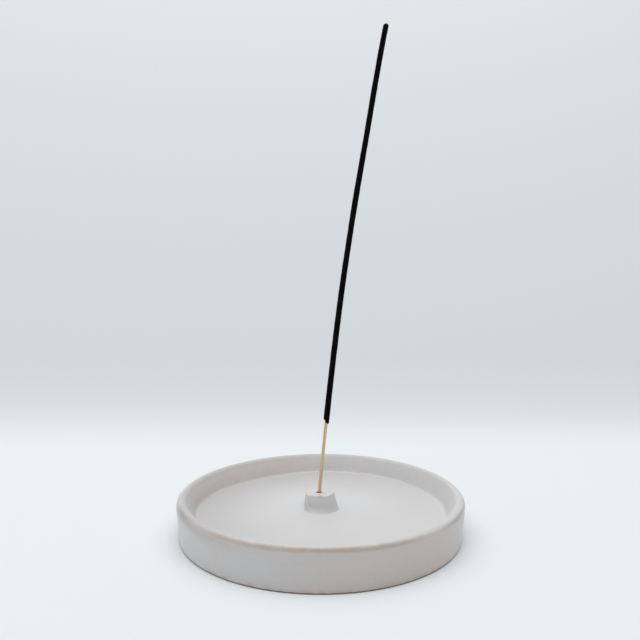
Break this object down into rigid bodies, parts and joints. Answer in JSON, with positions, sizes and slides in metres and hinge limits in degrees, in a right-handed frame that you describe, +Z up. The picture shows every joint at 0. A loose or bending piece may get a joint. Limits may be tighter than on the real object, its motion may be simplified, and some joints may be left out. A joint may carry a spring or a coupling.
{
  "type": "incense stick holder",
  "caption": "Round shallow glazed ceramic ash dish with a pierced boss in its middle that holds a leaning incense stick, which lifts out of its hole.",
  "frame": {"origin": "middle of the dish's foot, on the table", "axes": "+Z up, +X towards the side that the stick leans to"},
  "size_m": [0.1324, 0.1324, 0.2312],
  "materials": {
    "glazed_stoneware": "satin pale grey-white glaze, warm where it thins over edges, bare clay under the foot",
    "bamboo": "raw split bamboo",
    "incense_paste": "matte black charcoal and wood powder paste"
  },
  "bodies": {
    "holder": {"dish": "glazed_stoneware", "stick_boss": "glazed_stoneware"},
    "incense_stick": {"bamboo_core": "bamboo", "incense_coating": "incense_paste"}
  },
  "joints": [
    {"name": "stick_lift", "type": "slide", "parent": "holder", "child": "incense_stick", "axis": [0.0863, 0, 0.9963], "range_m": [0, 0.04]}
  ]
}
